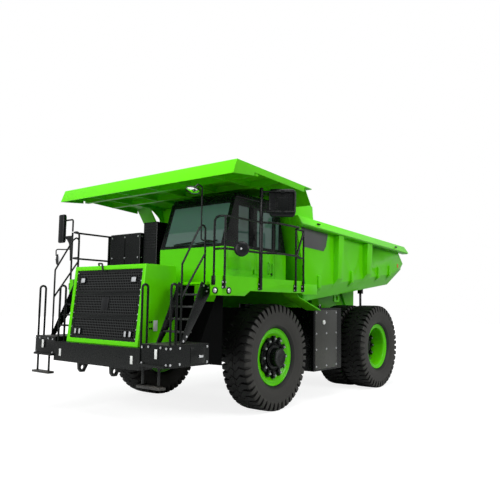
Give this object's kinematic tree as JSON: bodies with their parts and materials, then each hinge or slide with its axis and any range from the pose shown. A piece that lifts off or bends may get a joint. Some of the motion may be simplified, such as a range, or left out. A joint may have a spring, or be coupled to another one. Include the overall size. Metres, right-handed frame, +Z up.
{
  "type": "rigid mining dump truck",
  "caption": "Rigid off-highway dump truck: canopied rock body tipped by side hoists, cab on a raised deck, hooded nose with bumper steps, steered front wheels and twin rear wheels.",
  "frame": {"origin": "on the ground, midway along the truck's length and on its centre line", "axes": "+X is the truck's own left side, -Y is its front, +Z is up"},
  "size_m": [5.282, 8.985, 4.417],
  "materials": {
    "green_paint": "gloss lime green",
    "black_paint": "satin black",
    "frame_grey": "satin dark grey",
    "cast_dark": "painted dark",
    "tyre_rubber": "dull black",
    "cab_glass": "tinted",
    "mirror_glass": "polished",
    "rod_chrome": "polished",
    "dark_plastic": "matt black",
    "seat_fabric": "woven dark grey",
    "lamp_lens": "clear lens over white"
  },
  "bodies": {
    "chassis": {"frame": "frame_grey", "engine": "cast_dark", "transmission": "cast_dark", "rear_axle": "cast_dark", "suspension_struts": "black_paint", "steering_cylinder": "black_paint", "bumper": "black_paint", "access_steps": "black_paint", "hood": "green_paint", "grille": "black_paint", "lamps": "lamp_lens", "inner_fenders": "black_paint", "deck_left": "green_paint", "deck_right": "green_paint", "deck_rails_left": "black_paint", "deck_rails_right": "black_paint", "mirror_heads": "dark_plastic", "mirror_glass": "mirror_glass", "deck_cabinets": "black_paint", "side_tanks": "black_paint", "cab_body": "green_paint", "cab_frame": "black_paint", "cab_side_frames": "black_paint", "cab_roof": "black_paint", "cab_glass": "cab_glass", "cab_seat": "seat_fabric", "cab_console": "dark_plastic"},
    "steering_rod": {"steering_rod": "rod_chrome"},
    "knuckle_left": {"knuckle_left": "cast_dark"},
    "knuckle_right": {"knuckle_right": "cast_dark"},
    "front_wheel_left": {"front_tyre_left": "tyre_rubber", "front_rim_left": "green_paint", "front_hub_left": "black_paint"},
    "front_wheel_right": {"front_tyre_right": "tyre_rubber", "front_rim_right": "green_paint", "front_hub_right": "black_paint"},
    "rear_wheels_left": {"rear_tyres_left": "tyre_rubber", "rear_rims_left": "green_paint", "rear_hub_left": "black_paint"},
    "rear_wheels_right": {"rear_tyres_right": "tyre_rubber", "rear_rims_right": "green_paint", "rear_hub_right": "black_paint"},
    "cab_door": {"cab_door": "green_paint", "door_glass": "cab_glass"},
    "dump_body": {"body_floor": "green_paint", "body_sides": "green_paint", "body_headboard": "green_paint", "body_canopy": "green_paint", "rock_ejectors": "black_paint"},
    "hoist_barrels": {"hoist_barrels": "black_paint"},
    "hoist_stages": {"hoist_stages": "rod_chrome"},
    "hoist_rods": {"hoist_rods": "rod_chrome"}
  },
  "joints": [
    {"name": "steer_left", "type": "hinge", "parent": "chassis", "child": "knuckle_left", "pos_m": [1.05, -1.5075, 0.9], "axis": [0, 0, 1], "range_deg": [-31, 31]},
    {"name": "steer_right", "type": "hinge", "parent": "chassis", "child": "knuckle_right", "pos_m": [-1.05, -1.5075, 0.9], "axis": [0, 0, 1], "range_deg": [-31, 31]},
    {"name": "steering_slide", "type": "slide", "parent": "chassis", "child": "steering_rod", "axis": [1, 0, 0], "range_m": [-0.2, 0.2]},
    {"name": "front_left_spin", "type": "hinge", "parent": "knuckle_left", "child": "front_wheel_left", "pos_m": [1.5, -1.5075, 1.0211], "axis": [1, 0, 0], "continuous": true},
    {"name": "front_right_spin", "type": "hinge", "parent": "knuckle_right", "child": "front_wheel_right", "pos_m": [-1.5, -1.5075, 1.0211], "axis": [1, 0, 0], "continuous": true},
    {"name": "rear_left_spin", "type": "hinge", "parent": "chassis", "child": "rear_wheels_left", "pos_m": [1.286, 2.8105, 1.0211], "axis": [1, 0, 0], "continuous": true},
    {"name": "rear_right_spin", "type": "hinge", "parent": "chassis", "child": "rear_wheels_right", "pos_m": [-1.286, 2.8105, 1.0211], "axis": [1, 0, 0], "continuous": true},
    {"name": "door_swing", "type": "hinge", "parent": "chassis", "child": "cab_door", "pos_m": [1.7, -2.0875, 3], "axis": [0, 0, -1], "range_deg": [0, 65]},
    {"name": "body_raise", "type": "hinge", "parent": "chassis", "child": "dump_body", "pos_m": [0, 3.8225, 1.8], "axis": [-1, 0, 0], "range_deg": [0, 50]},
    {"name": "hoist_tilt", "type": "hinge", "parent": "chassis", "child": "hoist_barrels", "pos_m": [0, 1.3725, 0.7], "axis": [-1, 0, 0], "range_deg": [0, 6]},
    {"name": "hoist_stage_slide", "type": "slide", "parent": "hoist_barrels", "child": "hoist_stages", "axis": [0, 0.3447, 0.9387], "range_m": [0, 0.84]},
    {"name": "hoist_rod_slide", "type": "slide", "parent": "hoist_stages", "child": "hoist_rods", "axis": [0, 0.3447, 0.9387], "range_m": [0, 0.84]}
  ],
  "couplings": [
    {"joint": "steer_right", "follows": "steer_left", "ratio": 1},
    {"joint": "steering_slide", "follows": "steer_left", "m_per_rad": -0.345},
    {"joint": "hoist_tilt", "follows": "body_raise", "ratio": 0.11079},
    {"joint": "hoist_stage_slide", "follows": "body_raise", "m_per_rad": 0.95623},
    {"joint": "hoist_rod_slide", "follows": "body_raise", "m_per_rad": 0.95623}
  ]
}
